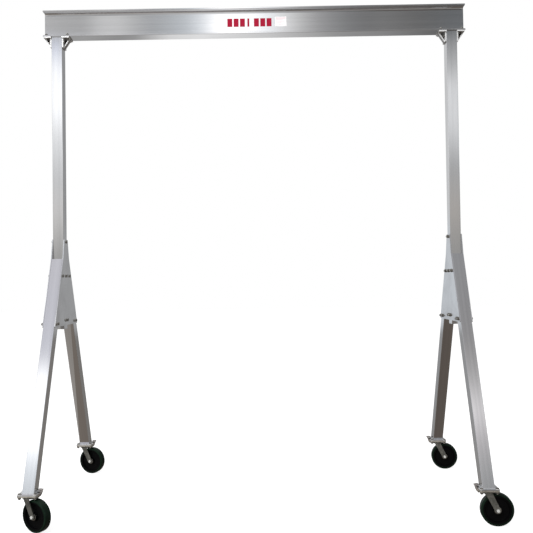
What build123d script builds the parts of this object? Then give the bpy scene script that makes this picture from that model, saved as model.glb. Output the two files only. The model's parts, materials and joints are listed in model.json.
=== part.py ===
from build123d import *
import os
from math import atan, cos, radians, sin, tan

# Portable gantry crane of aluminium: an I-beam bolted on two A-shaped end frames,
# each standing on two swivel casters with a swivel-lock lever.
# Millimetres, X along the beam, Y from the front frame legs to the rear ones, Z up from the floor.

# ---- driving dimensions -------------------------------------------------------------------
BEAM_LENGTH = 3048.0
BEAM_DEPTH = 190.5
FLANGE_WIDTH = 101.6
FLANGE_THICKNESS = 10.4
WEB_THICKNESS = 6.4
BEAM_ROOT_RADIUS = 8.0
FLANGE_EDGE_RADIUS = 1.5
UNDER_BEAM = 3327.0          # clear height below the beam

TUBE = 76.2                  # square tube of the posts and legs
TUBE_WALL = 4.8
TUBE_CORNER = 2.0
FRAME_SPACING = 2856.0       # post centre to post centre
FOOT_SPACING = 1270.0        # caster centre to caster centre, front to rear

POST_BOTTOM = 1213.0
LEG_TOP = 1717.0
LEG_TOP_PROUD = 30.0         # how far the leg's outer face stands off the post at the leg's top
GUSSET_TOP = 1859.0
GUSSET_BOTTOM = 1240.0
GUSSET_THICKNESS = 6.4
GUSSET_CORNER = 6.0

KNEE_REACH = 54.0            # corner bracket, along the beam
KNEE_DROP = 76.0             # corner bracket, down the post
KNEE_PLATE = 9.0
KNEE_WEB = 6.0
KNEE_STRAP_WIDTH = 40.0
KNEE_STRAP_THICKNESS = 10.0  # along the flange and down the post

BOLT_RADIUS = 6.0
HOLE_RADIUS = 6.4
HEX_FLATS = 18.0
HEAD_HEIGHT = 7.5
HEAD_CHAMFER = 1.0
NUT_HEIGHT = 10.8
NUT_FLANGE_RADIUS = 12.5
NUT_FLANGE_HEIGHT = 2.0
THREAD_END = 4.0             # bolt end beyond its nut
PRESS_GAP = 0.02             # radial clearance of pieces pressed together
RUNNING_GAP = 0.06           # radial clearance of a pin in its bore
SLIP_GAP = 0.1               # clearance between faces that turn past each other

PLATE_SIZE = 124.0           # foot plate and caster plate
PLATE_THICKNESS = 8.0
PLATE_CORNER = 10.0
PLATE_BOLT = 49.0            # plate bolts from the plate's centre, along X and along Y
WHEEL_RADIUS = 101.6
WHEEL_WIDTH = 50.8
TREAD_THICKNESS = 13.6
TREAD_SHOULDER = 9.0
TRAIL = 57.0                 # axle behind the kingpin
CROWN_BOTTOM = 207.0
CROWN_THICKNESS = 6.0
CROWN_RADIUS = 46.0
FORK_INSIDE = 64.0
FORK_THICKNESS = 6.0
FORK_END_RADIUS = 17.0
FORK_TOP_LENGTH = 44.0       # width of a fork leg at the crown
FORK_TOP_SHIFT = 1.0         # how far that width is shifted towards the trail
FORK_TOP_EDGE = 2.0
RACE_HEIGHT = 9.0            # fork crown to caster plate
UPPER_RACE_RADIUS = 36.0
UPPER_RACE_HEIGHT = 5.0
LOWER_RACE_RADIUS = 34.0
LOWER_RACE_HEIGHT = 3.0
BALL_RADIUS = 3.5
BALL_PITCH_RADIUS = 27.0
BALLS = 10
KINGPIN_RADIUS = 8.0
KINGPIN_HEAD_RADIUS = 14.0
KINGPIN_HEAD_HEIGHT = 7.5
KINGPIN_HEAD_CHAMFER = 1.5
AXLE_HOLE_RADIUS = 6.2
SLEEVE_RADIUS = 9.9
BEARING_RADIUS = 15.9
BEARING_HALF_WIDTH = 28.0
HUB_RADIUS = 26.0
HUB_HALF_WIDTH = 28.5
DISC_HALF_WIDTHS = (12.0, 9.0)   # the dished web at the hub and at the rim
DISC_RADII = (29.0, 72.0)
RIM_INSIDE_RADIUS = 77.0
RIM_HALF_WIDTH = 23.5

# lock lever, measured from the kingpin towards mid-span
LEVER_WIDTH = 25.0
LEVER_PIVOT_X = 57.0
LEVER_PIVOT_Z = 216.0
LEVER_PIN_RADIUS = 4.0
LEVER_PIN_HEAD_RADIUS = 5.6
LEVER_PIN_HEAD_HEIGHT = 2.5
LEVER_PIN_END = 2.0
LEVER_ARM_X = 22.0
LEVER_ARM_Z = 38.0
LEVER_THICKNESS = 5.6
LEVER_HUB_RADIUS = 6.0
PEDAL_LENGTH = 22.0          # pedal from the arm's tip back towards the leg
PEDAL_RISE = 2.0
PEDAL_EDGE_RADIUS = 2.2
PAD_REACH = 9.0              # brake pad from the pivot, towards the crown's rim
PAD_DROP = 8.5
PAD_THICKNESS = 4.5          # of the pad's outer edge
PAD_LENGTH = 7.0
LEVER_SLOT = 10.0            # cut in both plates, from the pivot towards the kingpin
EAR_THICKNESS = 4.0
EAR_BACK = 7.0               # ear outline from the pivot
EAR_FRONT = 8.0
EAR_DROP = 8.0
EAR_CHAMFER = 5.0
EAR_GAP = 0.8

FILM_THICKNESS = 0.4
MARK_HEIGHT = 60.0
MARK_WIDTH = 36.0
MARK_PITCH = 46.0
MARK_GROUPS = (-192.0, 2.0)  # where each group of three blocks starts, from mid-span
MARK_NARROW = (-46.0, -32.0)
LABEL_SPAN = (156.0, 238.0)
LABEL_HEIGHT = 70.0
LABEL_RAISE = 5.0

# swivel of each caster at rest, in degrees about +Z from trailing towards +X
REST_SWIVEL = {
    "front_left": -28.0,
    "front_right": -5.0,
    "rear_left": -16.0,
    "rear_right": -8.0,
}

# ---- sizes that follow ----------------------------------------------------------------------
HALF_TUBE = TUBE / 2
CASTER_PLATE_BOTTOM = CROWN_BOTTOM + CROWN_THICKNESS + RACE_HEIGHT
CASTER_PLATE_TOP = CASTER_PLATE_BOTTOM + PLATE_THICKNESS
FOOT_TOP = CASTER_PLATE_TOP + PLATE_THICKNESS
LEG_OUTER_TOP = HALF_TUBE + LEG_TOP_PROUD
# the leg's centre meets the foot plate over the kingpin, its outer face half a slanted tube out
LEG_ANGLE = atan((FOOT_SPACING / 2 + HALF_TUBE - LEG_OUTER_TOP) / (LEG_TOP - FOOT_TOP))
SLANTED_TUBE = TUBE / cos(LEG_ANGLE)

# The origin is on the floor, under the centre of the crane's outer box with the casters at rest.
# That centre lies off mid-span, because all four casters trail the same way.
REST_REACH = FRAME_SPACING / 2 + (TRAIL + WHEEL_RADIUS) * cos(radians(REST_SWIVEL["front_right"]))
BOX_CENTRE_X = (REST_REACH - BEAM_LENGTH / 2) / 2
FRONT_TURN = radians(-REST_SWIVEL["front_left"])
FRONT_REACH = (TRAIL + WHEEL_RADIUS) * sin(FRONT_TURN) + WHEEL_WIDTH / 2 * cos(FRONT_TURN)
BOX_CENTRE_Y = (PLATE_SIZE / 2 - FRONT_REACH) / 2


def side_sign(name):
    """-1 for a left piece, +1 for a right one."""
    return -1 if name.endswith("left") else 1


def end_sign(name):
    """-1 for a front piece, +1 for a rear one."""
    return -1 if name.startswith("front") else 1


def leg_outer(z):
    """Distance of a leg's outer face from the frame's middle, at height z."""
    return LEG_OUTER_TOP + (LEG_TOP - z) * tan(LEG_ANGLE)


def leg_centre(z):
    return leg_outer(z) - SLANTED_TUBE / 2


# ---- small building blocks --------------------------------------------------------------------
def block(x, y, z):
    """A box from three (low, high) pairs."""
    low = (x[0], y[0], z[0])
    size = (x[1] - x[0], y[1] - y[0], z[1] - z[0])
    return Pos(*low) * Box(*size, align=(Align.MIN, Align.MIN, Align.MIN))


def rod(radius, z_low, z_high):
    """An upright cylinder on the Z axis."""
    cylinder = Cylinder(radius, z_high - z_low, align=(Align.CENTER, Align.CENTER, Align.MIN))
    return Pos(0, 0, z_low) * cylinder


def plate_xz(points, y_low, y_high):
    """A plate with its outline in X and Z, between two values of Y."""
    face = Plane.XZ * make_face(Polyline(*points, close=True))
    return Pos(0, y_high, 0) * extrude(face, y_high - y_low)


def plate_yz(points, x_low, x_high):
    """A plate with its outline in Y and Z, between two values of X."""
    face = Plane.YZ * make_face(Polyline(*points, close=True))
    return Pos(x_low, 0, 0) * extrude(face, x_high - x_low)


def tube_section():
    inner = TUBE - 2 * TUBE_WALL
    return RectangleRounded(TUBE, TUBE, TUBE_CORNER) - RectangleRounded(inner, inner, TUBE_CORNER / 2)


def hex_prism(height):
    return extrude(RegularPolygon(HEX_FLATS / 2, 6, major_radius=False), height)


def bolt_and_nut(grip):
    """A hex bolt whose head sits on z=0 and points up, and its flanged nut below the grip."""
    head = hex_prism(HEAD_HEIGHT)
    head = chamfer(head.faces().sort_by(Axis.Z)[-1].edges(), HEAD_CHAMFER)
    bolt = head + rod(BOLT_RADIUS, -grip - NUT_HEIGHT - THREAD_END, 0)
    nut = Pos(0, 0, -grip - NUT_HEIGHT) * hex_prism(NUT_HEIGHT)
    nut += rod(NUT_FLANGE_RADIUS, -grip - NUT_FLANGE_HEIGHT, -grip)
    nut -= rod(BOLT_RADIUS + RUNNING_GAP, -grip - 2 * NUT_HEIGHT, 1)
    return [bolt, nut]


def placed(solids, location):
    return [location * solid for solid in solids]


def bolts_along_x(x_head, grip, points):
    """Bolts and nuts through (y, z) points, heads on the +X side."""
    pieces = []
    for y, z in points:
        pieces += placed(bolt_and_nut(grip), Pos(x_head, y, z) * Rot(0, 90, 0))
    return pieces


def drilled_x(shape, x, points):
    """The shape with bolt holes along X near x, through (y, z) points."""
    for y, z in points:
        shape -= Pos(x, y, z) * Rot(0, 90, 0) * Cylinder(HOLE_RADIUS, 3 * TUBE)
    return shape


def drilled_z(shape, z, points):
    """The shape with bolt holes along Z near z, through (x, y) points."""
    for x, y in points:
        shape -= Pos(x, y, z) * Cylinder(HOLE_RADIUS, 6 * PLATE_THICKNESS)
    return shape


# ---- where the bolts go -------------------------------------------------------------------------
KNEE_BOLT_REACH = 38.0       # flange bolts from the post's face
KNEE_BOLT_Y = 34.0
POST_BOLT_Y = 18.0
POST_BOLT_DROP = 33.0
GUSSET_MIDDLE_ROW = 1595.0
GUSSET_LOW_ROW = 1262.0
GUSSET_LOW_PITCH = 19.0      # a leg's two low bolts, each from the leg's centre
GUSSET_POST_ROW = 1277.0
GUSSET_POST_PITCH = 20.0
GUSSET_APEX_BOLT = 1842.0


def gusset_points():
    """Bolts of one end frame's gussets, as (y, z)."""
    points = [(0, GUSSET_APEX_BOLT), (0, GUSSET_MIDDLE_ROW)]
    points += [(y, GUSSET_POST_ROW) for y in (-GUSSET_POST_PITCH, GUSSET_POST_PITCH)]
    for way in (-1, 1):
        points.append((way * (leg_centre(GUSSET_MIDDLE_ROW) + 2), GUSSET_MIDDLE_ROW))
        for y in (-GUSSET_LOW_PITCH, GUSSET_LOW_PITCH):
            points.append((way * leg_centre(GUSSET_LOW_ROW) + y, GUSSET_LOW_ROW))
    return points


def post_points():
    """Bolts of one post's corner brackets, as (y, z)."""
    return [(y, UNDER_BEAM - POST_BOLT_DROP) for y in (-POST_BOLT_Y, POST_BOLT_Y)]


def flange_points():
    """Bolts of the corner brackets in the lower flange, as (x, y)."""
    reach = HALF_TUBE + KNEE_BOLT_REACH
    return [
        (side * FRAME_SPACING / 2 + way * reach, y)
        for side in (-1, 1)
        for way in (-1, 1)
        for y in (-KNEE_BOLT_Y, KNEE_BOLT_Y)
    ]


def foot_points(side, end):
    """Bolts of one foot plate, as (x, y)."""
    x = side * FRAME_SPACING / 2
    y = end * FOOT_SPACING / 2
    return [(x + i * PLATE_BOLT, y + j * PLATE_BOLT) for i in (-1, 1) for j in (-1, 1)]


# ---- beam and its markings -----------------------------------------------------------------------
def make_beam():
    web_half = WEB_THICKNESS / 2
    flange_half = FLANGE_WIDTH / 2
    inner_low = FLANGE_THICKNESS
    inner_high = BEAM_DEPTH - FLANGE_THICKNESS
    right = [
        (flange_half, 0),
        (flange_half, inner_low),
        (web_half, inner_low),
        (web_half, inner_high),
        (flange_half, inner_high),
        (flange_half, BEAM_DEPTH),
    ]
    left = [(-y, z) for y, z in reversed(right)]
    section = make_face(Polyline(*right, *left, close=True))
    roots = [v for v in section.vertices() if abs(abs(v.X) - web_half) < 0.01]
    section = fillet(roots, BEAM_ROOT_RADIUS)
    tips = [v for v in section.vertices() if abs(abs(v.X) - flange_half) < 0.01]
    section = fillet(tips, FLANGE_EDGE_RADIUS)
    beam = Pos(-BEAM_LENGTH / 2, 0, UNDER_BEAM) * extrude(Plane.YZ * section, BEAM_LENGTH)
    return drilled_z(beam, UNDER_BEAM, flange_points())


def make_capacity_marking():
    """Plain red blocks of film on the front of the web: three, a narrow one, then three."""
    starts = [group + i * MARK_PITCH for group in MARK_GROUPS for i in range(3)]
    spans = [(x, x + MARK_WIDTH) for x in starts] + [MARK_NARROW]
    front = -WEB_THICKNESS / 2
    middle = UNDER_BEAM + BEAM_DEPTH / 2
    height = (middle - MARK_HEIGHT / 2, middle + MARK_HEIGHT / 2)
    return [block(span, (front - FILM_THICKNESS, front), height) for span in spans]


def make_inspection_label():
    front = -WEB_THICKNESS / 2
    middle = UNDER_BEAM + BEAM_DEPTH / 2 + LABEL_RAISE
    height = (middle - LABEL_HEIGHT / 2, middle + LABEL_HEIGHT / 2)
    return block(LABEL_SPAN, (front - FILM_THICKNESS, front), height)


# ---- end frames ----------------------------------------------------------------------------------
def make_post(side):
    x = side * FRAME_SPACING / 2
    post = Pos(x, 0, POST_BOTTOM) * extrude(tube_section(), UNDER_BEAM - POST_BOTTOM)
    return drilled_x(post, x, gusset_points()[:4] + post_points())


def lever_slot(z_low, z_high):
    """What is cut from a plate over the lever, for a kingpin on the Z axis and the lever towards +X."""
    half = LEVER_WIDTH / 2 + EAR_GAP
    return block((LEVER_PIVOT_X - LEVER_SLOT, PLATE_SIZE), (-half, half), (z_low - 1, z_high + 1))


def make_leg(side, end):
    """Slanted tube cut level at its top and foot and mitred to the post, welded to its foot plate."""
    x = side * FRAME_SPACING / 2
    lean = (0, -end * sin(LEG_ANGLE), cos(LEG_ANGLE))
    foot = Plane(origin=(x, end * leg_centre(FOOT_TOP), FOOT_TOP), x_dir=(1, 0, 0), z_dir=lean)
    below = foot.offset(-TUBE)
    tube = extrude(below * tube_section(), 2 * TUBE + (LEG_TOP - FOOT_TOP) / cos(LEG_ANGLE))
    across = (x - TUBE, x + TUBE)
    outside = sorted((end * HALF_TUBE, end * FOOT_SPACING))
    tube &= block(across, outside, (FOOT_TOP, LEG_TOP))
    y = end * FOOT_SPACING / 2
    half = PLATE_SIZE / 2
    plate = block((x - half, x + half), (y - half, y + half), (CASTER_PLATE_TOP, FOOT_TOP))
    plate = fillet(plate.edges().filter_by(Axis.Z), PLATE_CORNER)
    plate -= Pos(x, y, 0) * Rot(0, 0, 0 if side < 0 else 180) * lever_slot(CASTER_PLATE_TOP, FOOT_TOP)
    plate = drilled_z(plate, FOOT_TOP, foot_points(side, end))
    return drilled_x(tube, x, gusset_points()) + plate


def make_gusset(side, inner):
    """Plate on the inner or outer face of an end frame, joining the post and both legs."""
    face = HALF_TUBE * (-side if inner else side)
    x_low, x_high = sorted((face, face + (GUSSET_THICKNESS if face > 0 else -GUSSET_THICKNESS)))
    right = [(leg_outer(GUSSET_BOTTOM), GUSSET_BOTTOM), (LEG_OUTER_TOP, LEG_TOP), (HALF_TUBE, GUSSET_TOP)]
    left = [(-y, z) for y, z in reversed(right)]
    plate = plate_yz(right + left, x_low, x_high)
    plate = fillet(plate.edges().filter_by(Axis.X), GUSSET_CORNER)
    return Pos(side * FRAME_SPACING / 2, 0, 0) * drilled_x(plate, 0, gusset_points())


def make_corner_bracket(side, inner):
    """Knee between post and beam: a wide top plate, a post plate, a sloping strap and a middle web."""
    half_flange = FLANGE_WIDTH / 2
    knee = block((0, KNEE_REACH), (-half_flange, half_flange), (-KNEE_PLATE, 0))
    knee += block((0, KNEE_PLATE), (-HALF_TUBE, HALF_TUBE), (-KNEE_DROP, 0))
    strap_low = KNEE_DROP - KNEE_STRAP_THICKNESS
    strap_high = KNEE_REACH - KNEE_STRAP_THICKNESS
    strap = [
        (KNEE_PLATE, -KNEE_DROP),
        (KNEE_REACH, -KNEE_PLATE),
        (strap_high, -KNEE_PLATE),
        (KNEE_PLATE, -strap_low),
    ]
    knee += plate_xz(strap, -KNEE_STRAP_WIDTH / 2, KNEE_STRAP_WIDTH / 2)
    web = [(KNEE_PLATE, -KNEE_PLATE), (strap_high, -KNEE_PLATE), (KNEE_PLATE, -strap_low)]
    knee += plate_xz(web, -KNEE_WEB / 2, KNEE_WEB / 2)
    for y in (-KNEE_BOLT_Y, KNEE_BOLT_Y):
        knee -= Pos(KNEE_BOLT_REACH, y, 0) * Cylinder(HOLE_RADIUS, 6 * KNEE_PLATE)
    for y in (-POST_BOLT_Y, POST_BOLT_Y):
        knee -= Pos(0, y, -POST_BOLT_DROP) * Rot(0, 90, 0) * Cylinder(HOLE_RADIUS, 4 * KNEE_PLATE)
    away = -side if inner else side
    turn = Rot(0, 0, 0) if away > 0 else Rot(0, 0, 180)
    return Pos(side * FRAME_SPACING / 2 + away * HALF_TUBE, 0, UNDER_BEAM) * turn * knee


def make_flange_bolts():
    """Nuts stand on the lower flange, heads are under the corner brackets."""
    pieces = []
    for x, y in flange_points():
        under = Pos(x, y, UNDER_BEAM - KNEE_PLATE) * Rot(180, 0, 0)
        pieces += placed(bolt_and_nut(KNEE_PLATE + FLANGE_THICKNESS), under)
    return pieces


def make_post_bolts():
    pieces = []
    grip = TUBE + 2 * KNEE_PLATE
    for side in (-1, 1):
        pieces += bolts_along_x(side * FRAME_SPACING / 2 + grip / 2, grip, post_points())
    return pieces


def make_gusset_bolts(side):
    grip = TUBE + 2 * GUSSET_THICKNESS
    return bolts_along_x(side * FRAME_SPACING / 2 + grip / 2, grip, gusset_points())


def make_foot_bolts():
    pieces = []
    for side in (-1, 1):
        for end in (-1, 1):
            for x, y in foot_points(side, end):
                bolt, nut = bolt_and_nut(2 * PLATE_THICKNESS)
                pieces += placed([bolt, nut], Pos(x, y, FOOT_TOP))
    return pieces


# ---- casters: kingpin on the Z axis, trail along +X, lock lever towards +X ---------------------------
def ball_groove():
    groove = Torus(BALL_PITCH_RADIUS, BALL_RADIUS + SLIP_GAP)
    return Pos(0, 0, CROWN_BOTTOM + CROWN_THICKNESS + BALL_RADIUS) * groove


def make_caster_plate():
    """Top plate with the upper ball race pressed into it and two ears for the lock lever."""
    half = PLATE_SIZE / 2
    plate = block((-half, half), (-half, half), (CASTER_PLATE_BOTTOM, CASTER_PLATE_TOP))
    plate = fillet(plate.edges().filter_by(Axis.Z), PLATE_CORNER)
    plate += rod(UPPER_RACE_RADIUS, CASTER_PLATE_BOTTOM - UPPER_RACE_HEIGHT, CASTER_PLATE_BOTTOM)
    ear_low = LEVER_WIDTH / 2 + EAR_GAP
    ear_high = ear_low + EAR_THICKNESS
    plate -= lever_slot(CASTER_PLATE_BOTTOM, CASTER_PLATE_TOP)
    back = LEVER_PIVOT_X - EAR_BACK
    front = LEVER_PIVOT_X + EAR_FRONT
    low = LEVER_PIVOT_Z - EAR_DROP
    outline = [
        (back, CASTER_PLATE_TOP),
        (back, low + EAR_CHAMFER),
        (back + EAR_CHAMFER, low),
        (front - EAR_CHAMFER, low),
        (front, low + EAR_CHAMFER),
        (front, CASTER_PLATE_TOP - EAR_CHAMFER),
        (front - EAR_CHAMFER, CASTER_PLATE_TOP),
    ]
    plate += plate_xz(outline, ear_low, ear_high)
    plate += plate_xz(outline, -ear_high, -ear_low)
    plate -= ball_groove()
    plate -= rod(KINGPIN_RADIUS + RUNNING_GAP, CROWN_BOTTOM, FOOT_TOP)
    pin_hole = Cylinder(LEVER_PIN_RADIUS + PRESS_GAP, 3 * LEVER_WIDTH)
    plate -= Pos(LEVER_PIVOT_X, 0, LEVER_PIVOT_Z) * Rot(90, 0, 0) * pin_hole
    corners = [(i * PLATE_BOLT, j * PLATE_BOLT) for i in (-1, 1) for j in (-1, 1)]
    return drilled_z(plate, CASTER_PLATE_BOTTOM, corners)


def make_kingpin():
    """Pin through plate, balls and fork crown, with its head under the crown."""
    pin = rod(KINGPIN_RADIUS, CROWN_BOTTOM - SLIP_GAP, CASTER_PLATE_TOP)
    head = rod(KINGPIN_HEAD_RADIUS, CROWN_BOTTOM - KINGPIN_HEAD_HEIGHT, CROWN_BOTTOM - SLIP_GAP)
    return pin + chamfer(head.faces().sort_by(Axis.Z)[0].edges(), KINGPIN_HEAD_CHAMFER)


def make_swivel_balls():
    ball = Pos(BALL_PITCH_RADIUS, 0, CROWN_BOTTOM + CROWN_THICKNESS + BALL_RADIUS) * Sphere(BALL_RADIUS)
    return [Rot(0, 0, 360 / BALLS * i) * ball for i in range(BALLS)]


def make_fork():
    """Round crown with the lower ball race, and two legs that slope back to the axle."""
    crown_top = CROWN_BOTTOM + CROWN_THICKNESS
    inside = FORK_INSIDE / 2
    outside = inside + FORK_THICKNESS
    crown = rod(CROWN_RADIUS, CROWN_BOTTOM, crown_top)
    crown += rod(LOWER_RACE_RADIUS, crown_top, crown_top + LOWER_RACE_HEIGHT)
    top = Pos(FORK_TOP_SHIFT, crown_top - FORK_TOP_EDGE / 2) * Rectangle(FORK_TOP_LENGTH, FORK_TOP_EDGE)
    end = Pos(TRAIL, WHEEL_RADIUS) * Circle(FORK_END_RADIUS)
    outline = make_hull(top.edges() + end.edges())
    leg = extrude(Plane.XZ * outline, FORK_THICKNESS)
    fork = crown + Pos(0, outside, 0) * leg + Pos(0, -inside, 0) * leg
    fork -= ball_groove()
    fork -= rod(KINGPIN_RADIUS + RUNNING_GAP, 0, FOOT_TOP)
    return fork - Pos(TRAIL, 0, WHEEL_RADIUS) * Rot(90, 0, 0) * Cylinder(AXLE_HOLE_RADIUS, 2 * FORK_INSIDE)


def on_axle(shape):
    """Moves a shape turned about Z so that it turns about the wheel's axle."""
    return Pos(TRAIL, 0, WHEEL_RADIUS) * Rot(90, 0, 0) * shape


def make_axle():
    """Bolt, nut and the sleeve that the fork clamps."""
    grip = FORK_INSIDE + 2 * FORK_THICKNESS
    pieces = placed(bolt_and_nut(grip), Pos(0, 0, grip / 2))
    half = FORK_INSIDE / 2 - SLIP_GAP
    sleeve = rod(SLEEVE_RADIUS, -half, half) - rod(BOLT_RADIUS + RUNNING_GAP, -half, half)
    return [on_axle(piece) for piece in pieces + [sleeve]]


def make_roller_bearing():
    half = BEARING_HALF_WIDTH
    return on_axle(rod(BEARING_RADIUS, -half, half) - rod(SLEEVE_RADIUS + RUNNING_GAP, -half, half))


def make_wheel_core():
    """Hub, dished web and rim, turned from one section."""
    rim = WHEEL_RADIUS - TREAD_THICKNESS
    section = [
        (BEARING_RADIUS + RUNNING_GAP, 0),
        (BEARING_RADIUS + RUNNING_GAP, HUB_HALF_WIDTH),
        (HUB_RADIUS, HUB_HALF_WIDTH),
        (DISC_RADII[0], DISC_HALF_WIDTHS[0]),
        (DISC_RADII[1], DISC_HALF_WIDTHS[1]),
        (RIM_INSIDE_RADIUS, RIM_HALF_WIDTH),
        (rim, RIM_HALF_WIDTH),
        (rim, 0),
    ]
    half = revolve(Plane.XZ * make_face(Polyline(*section, close=True)), Axis.Z)
    return on_axle(half + mirror(half, Plane.XY))


def make_wheel_tread():
    half = WHEEL_WIDTH / 2
    rim = WHEEL_RADIUS - TREAD_THICKNESS
    tread = rod(WHEEL_RADIUS, -half, half)
    shoulders = tread.edges().filter_by(GeomType.CIRCLE)
    return on_axle(fillet(shoulders, TREAD_SHOULDER) - rod(rim + PRESS_GAP, -half, half))


def make_lock_lever():
    """Cranked plate: a brake pad below the pivot, and an arm with a pedal above it."""
    pivot = (LEVER_PIVOT_X, LEVER_PIVOT_Z)
    tip = (LEVER_PIVOT_X + LEVER_ARM_X, LEVER_PIVOT_Z + LEVER_ARM_Z)
    hub = Pos(*pivot) * Circle(LEVER_HUB_RADIUS)
    arm_start = Pos(*pivot) * Circle(LEVER_THICKNESS / 2)
    arm_end = Pos(*tip) * Circle(LEVER_THICKNESS / 2)
    pedal_end = Pos(tip[0] - PEDAL_LENGTH, tip[1] + PEDAL_RISE) * Circle(PEDAL_EDGE_RADIUS)
    arm = make_hull(arm_start.edges() + arm_end.edges())
    pedal = make_hull(arm_end.edges() + pedal_end.edges())
    pad = make_face(
        Polyline(
            (LEVER_PIVOT_X - PAD_REACH, LEVER_PIVOT_Z - PAD_DROP),
            (LEVER_PIVOT_X - PAD_REACH + PAD_LENGTH, LEVER_PIVOT_Z - PAD_DROP),
            (LEVER_PIVOT_X + LEVER_PIN_RADIUS, LEVER_PIVOT_Z - LEVER_PIN_RADIUS / 2),
            (LEVER_PIVOT_X - LEVER_PIN_RADIUS, LEVER_PIVOT_Z + LEVER_PIN_RADIUS / 2),
            (LEVER_PIVOT_X - PAD_REACH, LEVER_PIVOT_Z - PAD_DROP + PAD_THICKNESS),
            close=True,
        )
    )
    outline = hub + arm + pedal + pad
    lever = Pos(0, LEVER_WIDTH / 2, 0) * extrude(Plane.XZ * outline, LEVER_WIDTH)
    bore = Cylinder(LEVER_PIN_RADIUS + RUNNING_GAP, 2 * LEVER_WIDTH)
    return lever - Pos(LEVER_PIVOT_X, 0, LEVER_PIVOT_Z) * Rot(90, 0, 0) * bore


def make_lever_pin():
    half = LEVER_WIDTH / 2 + EAR_GAP + EAR_THICKNESS
    pin = rod(LEVER_PIN_RADIUS, -half - LEVER_PIN_END, half)
    pin += rod(LEVER_PIN_HEAD_RADIUS, half, half + LEVER_PIN_HEAD_HEIGHT)
    return Pos(LEVER_PIVOT_X, 0, LEVER_PIVOT_Z) * Rot(90, 0, 0) * pin


# ---- the whole crane ----------------------------------------------------------------------------------
def crane_pieces():
    """Every node's name and its shape or list of solids, measured from mid-span."""
    pieces = {
        "i_beam": make_beam(),
        "capacity_marking": make_capacity_marking(),
        "inspection_label": make_inspection_label(),
        "flange_bolts": make_flange_bolts(),
        "post_bolts": make_post_bolts(),
        "foot_bolts": make_foot_bolts(),
    }
    lever_pins = []
    for hand in ("left", "right"):
        side = side_sign(hand)
        pieces[f"post_{hand}"] = make_post(side)
        pieces[f"gusset_bolts_{hand}"] = make_gusset_bolts(side)
        for face in ("inner", "outer"):
            pieces[f"gusset_{hand}_{face}"] = make_gusset(side, face == "inner")
            pieces[f"corner_bracket_{hand}_{face}"] = make_corner_bracket(side, face == "inner")
    for corner, swivel in REST_SWIVEL.items():
        side = side_sign(corner)
        end = end_sign(corner)
        pieces[f"leg_{corner}"] = make_leg(side, end)
        at = Pos(side * FRAME_SPACING / 2, end * FOOT_SPACING / 2, 0)
        facing = at * Rot(0, 0, 0 if side < 0 else 180)
        swivelled = at * Rot(0, 0, swivel)
        pieces[f"caster_plate_{corner}"] = facing * make_caster_plate()
        pieces[f"kingpin_{corner}"] = at * make_kingpin()
        pieces[f"lock_lever_{corner}"] = facing * make_lock_lever()
        lever_pins.append(facing * make_lever_pin())
        pieces[f"swivel_balls_{corner}"] = placed(make_swivel_balls(), swivelled)
        pieces[f"fork_{corner}"] = swivelled * make_fork()
        pieces[f"axle_{corner}"] = placed(make_axle(), swivelled)
        pieces[f"roller_bearing_{corner}"] = swivelled * make_roller_bearing()
        pieces[f"wheel_core_{corner}"] = swivelled * make_wheel_core()
        pieces[f"wheel_tread_{corner}"] = swivelled * make_wheel_tread()
    pieces["lever_pins"] = lever_pins
    return pieces


def main():
    os.makedirs("parts", exist_ok=True)
    to_origin = Pos(-BOX_CENTRE_X, -BOX_CENTRE_Y, 0)
    for name, shape in crane_pieces().items():
        if isinstance(shape, list):
            shape = Compound(placed(shape, to_origin))
        else:
            shape = to_origin * shape
        export_step(shape, f"parts/{name}.step")


main()
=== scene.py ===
import json
import math
import random

import bmesh
import bpy
from mathutils import Matrix, Vector


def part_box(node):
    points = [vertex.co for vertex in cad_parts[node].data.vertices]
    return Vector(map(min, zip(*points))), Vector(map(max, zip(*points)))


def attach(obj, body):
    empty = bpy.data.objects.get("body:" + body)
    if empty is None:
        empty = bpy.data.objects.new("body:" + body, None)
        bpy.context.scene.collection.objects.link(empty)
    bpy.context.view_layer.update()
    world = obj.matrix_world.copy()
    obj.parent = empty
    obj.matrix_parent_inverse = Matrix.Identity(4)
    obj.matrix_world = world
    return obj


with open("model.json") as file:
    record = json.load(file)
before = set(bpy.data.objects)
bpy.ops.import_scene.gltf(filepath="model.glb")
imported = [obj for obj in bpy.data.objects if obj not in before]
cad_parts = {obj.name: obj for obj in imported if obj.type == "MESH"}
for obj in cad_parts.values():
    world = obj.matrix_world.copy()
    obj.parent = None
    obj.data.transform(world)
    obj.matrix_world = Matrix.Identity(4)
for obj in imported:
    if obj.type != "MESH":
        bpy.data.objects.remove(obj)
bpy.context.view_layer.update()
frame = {"nodes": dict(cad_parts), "record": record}

# Portable aluminium gantry crane. Metres, +X along the beam, +Y to the rear, +Z up.
NODES = frame["nodes"]
CORNERS = ("front_left", "front_right", "rear_left", "rear_right")
HANDS = ("left", "right")
FACES = ("inner", "outer")
AXES = (Vector((1, 0, 0)), Vector((0, 1, 0)), Vector((0, 0, 1)))
UP = AXES[2]
SAME = 0.0005               # two heights closer than this are one
FOOT_PLATE = 0.008
random.seed(7)


def middle_of(node):
    low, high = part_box(node)
    return (low + high) / 2


def points_of(node):
    return [v.co.copy() for v in NODES[node].data.vertices]


MID_SPAN = middle_of("i_beam")


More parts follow.
